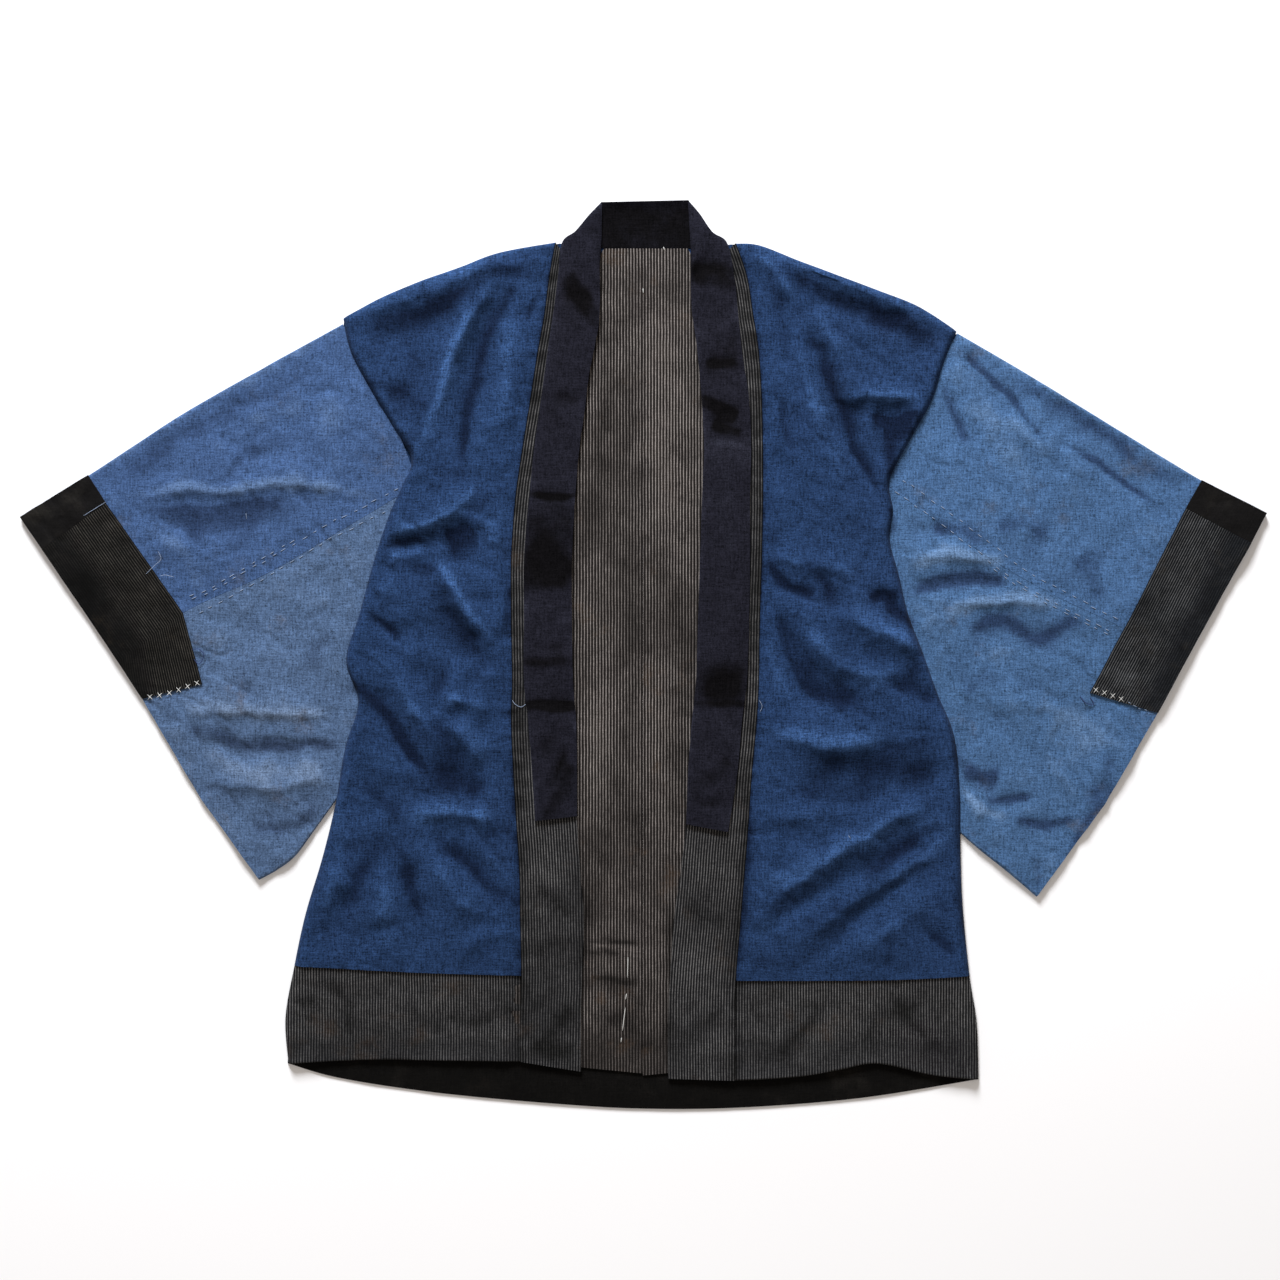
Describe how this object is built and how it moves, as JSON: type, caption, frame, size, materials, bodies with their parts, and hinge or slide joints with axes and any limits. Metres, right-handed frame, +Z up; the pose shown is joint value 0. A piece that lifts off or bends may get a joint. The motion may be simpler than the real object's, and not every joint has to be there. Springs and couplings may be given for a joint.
{
  "type": "patched boro jacket",
  "caption": "Short lined work jacket laid flat with fronts up, pieced from indigo, faded, striped and black cotton, with straight sleeves, a band collar and patched cuffs.",
  "frame": {"origin": "middle of the bounding box, on the surface that the jacket lies on", "axes": "+X across the jacket from sleeve to sleeve, +Y from the hem to the collar, +Z up through the layers"},
  "size_m": [1.2475, 0.9104, 0.0132],
  "materials": {
    "indigo": "worn cotton with a slight sheen",
    "faded_indigo": "faded cotton",
    "dark_stripe": "striped cotton",
    "lining_stripe": "striped cotton lining",
    "pin_stripe": "pin-striped cotton",
    "black_cotton": "smooth black cotton"
  },
  "bodies": {
    "root": {"body_left": "indigo", "body_right": "indigo", "facing_left": "dark_stripe", "facing_right": "dark_stripe", "collar_left": "black_cotton", "collar_nape": "black_cotton", "collar_right": "black_cotton", "hem_left": "dark_stripe", "hem_right": "dark_stripe", "hem_back": "black_cotton", "lining_left": "lining_stripe", "lining_right": "lining_stripe", "sleeve_left_upper": "faded_indigo", "sleeve_left_lower": "faded_indigo", "sleeve_right_upper": "faded_indigo", "sleeve_right_lower": "faded_indigo", "cuff_left_patch": "pin_stripe", "cuff_left_top": "black_cotton", "cuff_right_patch": "pin_stripe", "cuff_right_top": "black_cotton"}
  },
  "joints": []
}
